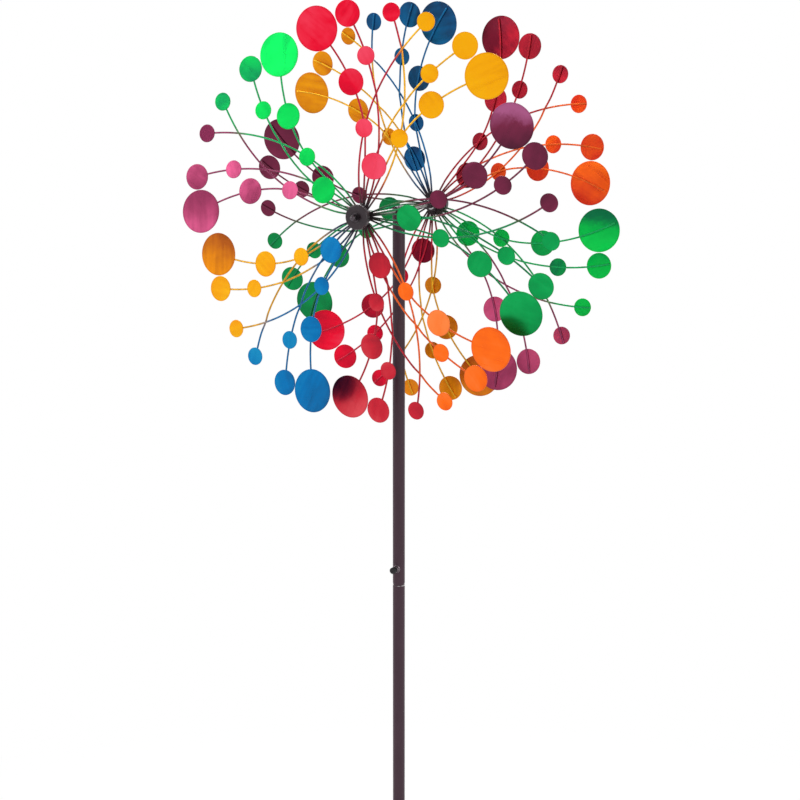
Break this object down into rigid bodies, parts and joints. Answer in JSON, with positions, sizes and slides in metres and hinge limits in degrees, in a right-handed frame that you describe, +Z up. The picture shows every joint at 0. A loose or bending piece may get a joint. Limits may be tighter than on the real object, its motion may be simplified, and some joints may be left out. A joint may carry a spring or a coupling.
{
  "type": "garden wind spinner",
  "caption": "Tall garden wind spinner with two counter-turning rotors of painted metal discs on curved wires, on a jointed step-in stake with thumb screws.",
  "frame": {"origin": "on the pole axis at ground level, where the centre spike enters the ground", "axes": "+Z up the pole, Y along the rotor axle with the front rotor on the -Y side, X across the rotors"},
  "size_m": [0.6063, 0.283, 1.9331],
  "materials": {
    "crimson_paint": "glossy metallic",
    "scarlet_paint": "glossy metallic",
    "amber_paint": "glossy metallic",
    "ochre_paint": "glossy metallic, brushed under the paint",
    "orange_paint": "glossy metallic",
    "plum_paint": "glossy metallic",
    "magenta_paint": "glossy metallic",
    "green_paint": "glossy metallic",
    "deep_green_paint": "glossy metallic",
    "blue_paint": "glossy metallic",
    "wire_paint": "dark bronze, sprayed over with the disc colours further out",
    "pole_paint": "satin dark bronze",
    "zinc_steel": "zinc plated",
    "bearing_steel": "polished",
    "bright_nut": "plated, dulled outdoors",
    "black_screw": "black oxide",
    "black_knob": "black moulded"
  },
  "bodies": {
    "ground_stake": {"lower_tube": "pole_paint", "ground_spike": "pole_paint", "ground_prongs": "pole_paint"},
    "lower_sleeve": {"lower_sleeve": "zinc_steel"},
    "middle_pole": {"middle_tube": "pole_paint", "lower_weld_nut": "pole_paint"},
    "upper_sleeve": {"upper_sleeve": "zinc_steel"},
    "upper_pole": {"upper_tube": "pole_paint", "upper_weld_nut": "pole_paint", "pole_cap": "pole_paint", "head_tube": "pole_paint", "axle": "zinc_steel", "stop_collars": "zinc_steel", "bearing_inner_rings": "bearing_steel", "axle_spacers": "zinc_steel", "axle_washers": "bright_nut", "acorn_nuts": "bright_nut"},
    "front_rotor": {"front_blade_1_wires": "wire_paint", "front_blade_1_left_discs": "crimson_paint", "front_blade_1_right_discs": "amber_paint", "front_blade_2_wires": "wire_paint", "front_blade_2_left_discs": "plum_paint", "front_blade_2_right_discs": "deep_green_paint", "front_blade_3_wires": "wire_paint", "front_blade_3_left_discs": "orange_paint", "front_blade_3_right_discs": "scarlet_paint", "front_blade_4_wires": "wire_paint", "front_blade_4_left_discs": "blue_paint", "front_blade_4_right_discs": "ochre_paint", "front_blade_5_wires": "wire_paint", "front_blade_5_left_discs": "magenta_paint", "front_blade_5_right_discs": "green_paint", "front_hub_cap": "pole_paint", "front_hub_barrel": "pole_paint", "front_bearing_outer_rings": "bearing_steel", "front_bearing_balls": "bearing_steel"},
    "rear_rotor": {"rear_blade_1_wires": "wire_paint", "rear_blade_1_left_discs": "amber_paint", "rear_blade_1_right_discs": "blue_paint", "rear_blade_2_wires": "wire_paint", "rear_blade_2_left_discs": "scarlet_paint", "rear_blade_2_right_discs": "orange_paint", "rear_blade_3_wires": "wire_paint", "rear_blade_3_left_discs": "green_paint", "rear_blade_3_right_discs": "magenta_paint", "rear_blade_4_wires": "wire_paint", "rear_blade_4_left_discs": "ochre_paint", "rear_blade_4_right_discs": "crimson_paint", "rear_blade_5_wires": "wire_paint", "rear_blade_5_left_discs": "deep_green_paint", "rear_blade_5_right_discs": "plum_paint", "rear_hub_cap": "pole_paint", "rear_hub_barrel": "pole_paint", "rear_bearing_outer_rings": "bearing_steel", "rear_bearing_balls": "bearing_steel"},
    "upper_screw": {"upper_screw_shank": "black_screw"},
    "upper_knob": {"upper_screw_knob": "black_knob"},
    "lower_screw": {"lower_screw_shank": "black_screw"},
    "lower_knob": {"lower_screw_knob": "black_knob"}
  },
  "joints": [
    {"name": "lower_sleeve_lift", "type": "slide", "parent": "ground_stake", "child": "lower_sleeve", "axis": [0, 0, 1], "range_m": [0, 0.05]},
    {"name": "middle_pole_swivel", "type": "hinge", "parent": "lower_sleeve", "child": "middle_pole", "pos_m": [0, 0, 0.3], "axis": [0, 0, 1], "continuous": true},
    {"name": "upper_sleeve_lift", "type": "slide", "parent": "middle_pole", "child": "upper_sleeve", "axis": [0, 0, 1], "range_m": [0, 0.05]},
    {"name": "upper_pole_swivel", "type": "hinge", "parent": "upper_sleeve", "child": "upper_pole", "pos_m": [0, 0, 0.876], "axis": [0, 0, 1], "continuous": true},
    {"name": "front_rotor_spin", "type": "hinge", "parent": "upper_pole", "child": "front_rotor", "pos_m": [0, -0.11, 1.45], "axis": [0, 1, 0], "continuous": true},
    {"name": "rear_rotor_spin", "type": "hinge", "parent": "upper_pole", "child": "rear_rotor", "pos_m": [0, 0.11, 1.45], "axis": [0, 1, 0], "continuous": true},
    {"name": "upper_screw_travel", "type": "slide", "parent": "upper_pole", "child": "upper_screw", "axis": [0, -1, 0], "range_m": [0, 0.0039]},
    {"name": "upper_knob_turn", "type": "hinge", "parent": "upper_screw", "child": "upper_knob", "pos_m": [0, -0.015, 0.9025], "axis": [0, -1, 0], "range_deg": [0, 1440]},
    {"name": "lower_screw_travel", "type": "slide", "parent": "middle_pole", "child": "lower_screw", "axis": [0, -1, 0], "range_m": [0, 0.0039]},
    {"name": "lower_knob_turn", "type": "hinge", "parent": "lower_screw", "child": "lower_knob", "pos_m": [0, -0.015, 0.3265], "axis": [0, -1, 0], "range_deg": [0, 1440]}
  ],
  "couplings": [
    {"joint": "upper_knob_turn", "follows": "upper_screw_travel", "rad_per_m": 6283.2},
    {"joint": "lower_knob_turn", "follows": "lower_screw_travel", "rad_per_m": 6283.2}
  ]
}
